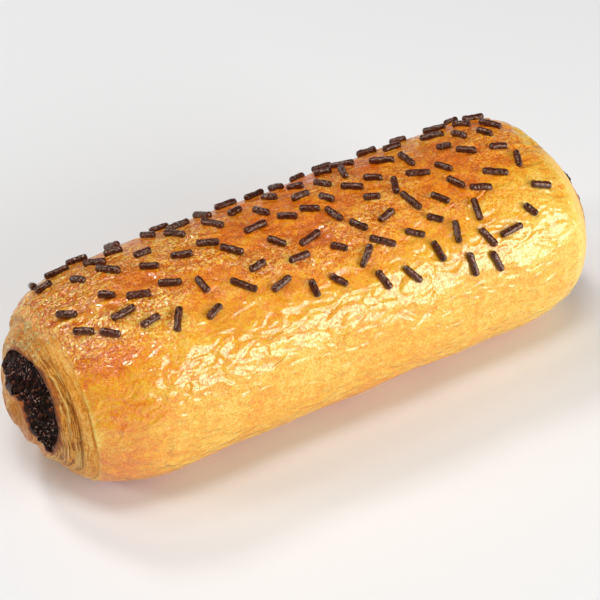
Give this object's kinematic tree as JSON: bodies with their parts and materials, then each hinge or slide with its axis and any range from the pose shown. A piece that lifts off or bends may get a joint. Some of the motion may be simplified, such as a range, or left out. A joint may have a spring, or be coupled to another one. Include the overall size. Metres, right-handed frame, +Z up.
{
  "type": "pain au chocolat",
  "caption": "Baked roll of layered pastry dough with a glazed top, dark chocolate showing at both ends and chocolate sprinkles on it.",
  "frame": {"origin": "middle of the flat base that the roll rests on, under the middle of its length", "axes": "+X along the roll, +Z up, and the chocolate shows most towards -Y"},
  "size_m": [0.1402, 0.0515, 0.0442],
  "materials": {
    "crust": "egg-washed crust, glossy on top and matte at the ends",
    "chocolate": "baked dark chocolate, crumbly with small glints"
  },
  "bodies": {
    "root": {"dough": "crust", "chocolate_filling": "chocolate"}
  },
  "joints": []
}
